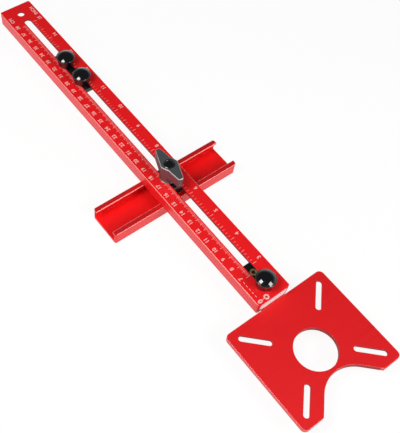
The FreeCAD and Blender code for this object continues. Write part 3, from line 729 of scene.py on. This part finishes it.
def turned_piece(profile, middle_x, segments):
    """Turns a profile of (radius, height) points round an upright axis."""
    bm = bmesh.new()
    rings = []
    for radius, height in profile:
        if radius < ON_AXIS:
            rings.append([bm.verts.new((middle_x, 0, height))])
        else:
            rings.append([
                bm.verts.new((
                    middle_x + radius * math.cos(2 * math.pi * i / segments),
                    radius * math.sin(2 * math.pi * i / segments),
                    height,
                )) for i in range(segments)
            ])
    for lower, upper in zip(rings, rings[1:]):
        for i in range(segments):
            j = (i + 1) % segments
            # A ring of one point, on the axis, gives that point for both corners
            ring = [
                lower[i % len(lower)], lower[j % len(lower)],
                upper[j % len(upper)], upper[i % len(upper)],
            ]
            corners = list(dict.fromkeys(ring))
            if len(corners) > 2:
                bm.faces.new(corners)
    bmesh.ops.recalc_face_normals(bm, faces=bm.faces)
    return bm


# Domed knob: the stud's blind hole and its bevel, the foot's rounding, and the skirt's flare
STUD_HOLE_DEPTH = 4.0 * MM
STUD_HOLE_BEVEL = 0.3 * MM
FOOT_ROUND = 0.35 * MM
FLARE_STEPS = 6
# The skirt flares in a slight hollow; a power of 1 would be straight
FLARE_POWER = 1.5
# The rim's rounding ends at this angle from level, in degrees, and a fine step parts it from the
# dome. The step's points lie this far in and up from there, and the last starts the dome
RIM_ARC = 68
RIM_STEP = ((0.14 * MM, -0.02 * MM), (0.24 * MM, 0.05 * MM), (0.30 * MM, 0.10 * MM))
DOME_STEPS = 14


def domed_profile(foot, crown, outer, knobs):
    """Outline of a domed knob, from its stud hole out, up the skirt and over the dome."""
    skirt = foot + knobs.skirt_height
    narrow = outer - knobs.flare
    lip = knobs.rim_round
    points = [
        (knobs.stud_radius, foot + STUD_HOLE_DEPTH),
        (knobs.stud_radius, foot + STUD_HOLE_BEVEL),
        (knobs.stud_radius + STUD_HOLE_BEVEL, foot),
    ]
    flare_foot = foot + FOOT_ROUND
    points += arc_points((narrow - FOOT_ROUND, flare_foot), FOOT_ROUND, -90, 0, 4)
    for i in range(1, FLARE_STEPS):
        share = i / FLARE_STEPS
        points.append((
            narrow + knobs.flare * share ** FLARE_POWER,
            flare_foot + (skirt - lip - flare_foot) * share,
        ))
    points += arc_points((outer - lip, skirt - lip), lip, 0, RIM_ARC, 7)
    rim_radius, rim_height = points[-1]
    step = [(rim_radius - inward, rim_height + upward) for inward, upward in RIM_STEP]
    points += step[:-1]
    base_radius, base_height = step[-1]
    rise = crown - base_height
    sphere = (base_radius ** 2 + rise ** 2) / (2 * rise)
    for i in range(DOME_STEPS + 1):
        radius = base_radius * (1 - i / DOME_STEPS)
        points.append((radius, crown - sphere + math.sqrt(sphere ** 2 - radius ** 2)))
    return points


class JIG_OT_turn_domed_knobs(bpy.types.Operator):
    """Builds the three domed hand knobs in place of their plain solids"""
    bl_idname = "jig.turn_domed_knobs"
    bl_label = "Turn Domed Knobs"

    def execute(self, context):
        knobs = context.scene.jig_knobs
        phenolic = moulded_phenolic("moulded_phenolic", 0.06, 0.14, 0.5)
        for node, body in (
            ("end_knob", "end_knob_turning"),
            ("pivot_knob", "pivot_knob_turning"),
            ("lock_knob", "lock_knob_turning"),
        ):
            low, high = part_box(node)
            profile = domed_profile(low.z, high.z, (high.x - low.x) / 2, knobs)
            bm = turned_piece(profile, (low.x + high.x) / 2, knobs.segments)
            piece = new_piece(
                node + "_moulding", bm, phenolic, body, smooth=True)
            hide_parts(node)
        return {"FINISHED"}


class JIG_OT_dress_wing_knob(bpy.types.Operator):
    """Gives the cast wing knob and its cover cap their finishes"""
    bl_idname = "jig.dress_wing_knob"
    bl_label = "Dress Wing Knob"

    def execute(self, context):
        dress("wing_knob", coated_casting())
        dress("wing_cap", moulded_phenolic("pressed_cap_phenolic", 0.22, 0.32, 0.3))
        return {"FINISHED"}


# Softboxes stand where the highlights on the domed knobs place them: name, way from the target,
# distance and side in metres, watts, target
SOFTBOXES = (
    ("key_softbox", (0.02, 0.437, 0.683), 0.81, 0.33, 4.5, (0.205, 0, 0.012)),
    ("fill_softbox", (-0.675, -0.235, 0.699), 0.80, 0.34, 3.4, (0.0587, 0, 0.02)),
)
# The room's walls are bright, so flanks turn pink, and its ceiling is dark, so domes stay black.
# The level falls from the first value to the second as a ray turns towards the dark, which is
# measured by the cosine between them
DARK_WAY = (0.20, -0.12, 0.97)
DARK_COSINES = (0.15, 0.65)
ROOM_LEVELS = (0.95, 0.08)
WHITE = (1, 1, 1, 1)
# Share of the floor that the camera and mirrors see as white; the rest keeps the shadow
FLOOR_WHITE = 0.9
# Half the floor's side, and its middle, in metres
FLOOR_SIZE = 4.0
FLOOR_MIDDLE = (0.2, 0)


def studio_paper(stage):
    """Matt paper, which the camera and glossy rays see as white, and which keeps the shadow."""
    paper, tree, place = new_material("studio_paper")
    # Clouds of fibre some millimetres wide
    fibre = noise(tree, place, 300.0, 3.0)
    shade = blend(tree, fibre, linear(stage.paper_white), WHITE)
    matt = add_node(tree, "ShaderNodeBsdfDiffuse", {"Color": shade})
    glow = add_node(tree, "ShaderNodeEmission", {"Color": WHITE, "Strength": 1.0})
    ray = add_node(tree, "ShaderNodeLightPath")
    seen = calculate(tree, "MAXIMUM", (ray, "Is Camera Ray"), (ray, "Is Glossy Ray"))
    seen = calculate(tree, "MAXIMUM", seen, (ray, "Is Transmission Ray"))
    share = calculate(tree, "MULTIPLY", seen, FLOOR_WHITE)
    both = add_node(tree, "ShaderNodeMixShader", {
        0: share, 1: (matt, "BSDF"), 2: (glow, "Emission")})
    add_node(tree, "ShaderNodeOutputMaterial", {"Surface": (both, "Shader")})
    return paper


def add_floor(scene, stage):
    bm = bmesh.new()
    bmesh.ops.create_grid(bm, x_segments=8, y_segments=8, size=FLOOR_SIZE)
    mesh = bpy.data.meshes.new("floor")
    bm.to_mesh(mesh)
    bm.free()
    mesh.materials.append(studio_paper(stage))
    floor = bpy.data.objects.new("floor", mesh)
    floor.location = (*FLOOR_MIDDLE, CAD_BOX[0].z - stage.floor_drop)
    scene.collection.objects.link(floor)


def studio_room():
    """World that lights the object as a room would, and that the camera sees as white."""
    world = bpy.data.worlds.new("studio_room")
    world.use_nodes = True
    tree = world.node_tree
    tree.nodes.clear()
    place = add_node(tree, "ShaderNodeTexCoord")
    near = add_node(tree, "ShaderNodeVectorMath", {
        0: (place, "Generated"), 1: Vector(DARK_WAY).normalized()}, operation="DOT_PRODUCT")
    level = add_node(tree, "ShaderNodeMapRange", {
        "Value": (near, "Value"), "From Min": DARK_COSINES[0], "From Max": DARK_COSINES[1],
        "To Min": ROOM_LEVELS[0], "To Max": ROOM_LEVELS[1]}, interpolation_type="SMOOTHSTEP")
    room = add_node(tree, "ShaderNodeBackground", {"Color": WHITE, "Strength": (level, "Result")})
    white = add_node(tree, "ShaderNodeBackground", {"Color": WHITE, "Strength": 1.0})
    ray = add_node(tree, "ShaderNodeLightPath")
    both = add_node(tree, "ShaderNodeMixShader", {
        0: (ray, "Is Camera Ray"), 1: (room, "Background"), 2: (white, "Background")})
    add_node(tree, "ShaderNodeOutputWorld", {"Surface": (both, "Shader")})
    return world


def add_softbox(scene, name, towards, distance, side, power, target):
    lamp = bpy.data.lights.new(name, "AREA")
    lamp.shape = "RECTANGLE"
    lamp.size = side
    lamp.size_y = side
    lamp.energy = power
    holder = bpy.data.objects.new(name, lamp)
    way = Vector(towards).normalized()
    holder.location = Vector(target) + way * distance
    holder.rotation_euler = way.to_track_quat("Z", "Y").to_euler()
    scene.collection.objects.link(holder)


def add_camera(scene, stage):
    """Camera of the photo. Its sensor is 36 mm wide and the clip distances are in metres."""
    data = bpy.data.cameras.new("camera")
    data.lens = stage.focal_length
    data.sensor_width = 36
    data.sensor_fit = "AUTO"
    data.shift_x, data.shift_y = stage.shift
    data.clip_start = 0.01
    data.clip_end = 50
    camera = bpy.data.objects.new("camera", data)
    camera.location = stage.camera_place
    camera.rotation_euler = stage.camera_turn
    scene.collection.objects.link(camera)
    scene.camera = camera


class JIG_OT_set_stage(bpy.types.Operator):
    """Sets the floor, the lights and the camera"""
    bl_idname = "jig.set_stage"
    bl_label = "Set Stage"

    def execute(self, context):
        scene = context.scene
        stage = scene.jig_stage
        add_floor(scene, stage)
        scene.world = studio_room()
        for softbox in SOFTBOXES:
            add_softbox(scene, *softbox)
        add_camera(scene, stage)
        scene.view_settings.view_transform = "Standard"
        return {"FINISHED"}


class JIG_PT_sidebar(bpy.types.Panel):
    """Sizes, finishes and steps of the jig"""
    bl_label = "Circle Jig"
    bl_idname = "JIG_PT_sidebar"
    bl_space_type = "VIEW_3D"
    bl_region_type = "UI"
    bl_category = "Circle Jig"

    def draw(self, context):
        layout = self.layout
        for group in GROUPS:
            box = layout.box()
            settings = getattr(context.scene, group)
            for name in settings.bl_rna.properties.keys():
                if name not in ("rna_type", "name"):
                    box.prop(settings, name)
        for step in STEPS:
            layout.operator(step.bl_idname)


STEPS = (
    JIG_OT_dress_extrusions,
    JIG_OT_dress_fittings,
    JIG_OT_engrave_scale,
    JIG_OT_turn_domed_knobs,
    JIG_OT_dress_wing_knob,
    JIG_OT_set_stage,
)
GROUPS = {
    "jig_finishes": JigFinishes,
    "jig_scale": JigScale,
    "jig_knobs": JigKnobs,
    "jig_stage": JigStage,
}


def register():
    for name, group in GROUPS.items():
        bpy.utils.register_class(group)
        setattr(bpy.types.Scene, name, bpy.props.PointerProperty(type=group))
    for step in STEPS:
        bpy.utils.register_class(step)
    bpy.utils.register_class(JIG_PT_sidebar)


def unregister():
    bpy.utils.unregister_class(JIG_PT_sidebar)
    for step in reversed(STEPS):
        bpy.utils.unregister_class(step)
    for name, group in reversed(GROUPS.items()):
        delattr(bpy.types.Scene, name)
        bpy.utils.unregister_class(group)


def main():
    register()
    bpy.ops.jig.dress_extrusions()
    bpy.ops.jig.dress_fittings()
    bpy.ops.jig.engrave_scale()
    bpy.ops.jig.turn_domed_knobs()
    bpy.ops.jig.dress_wing_knob()
    bpy.ops.jig.set_stage()


if __name__ == "__main__":
    main()
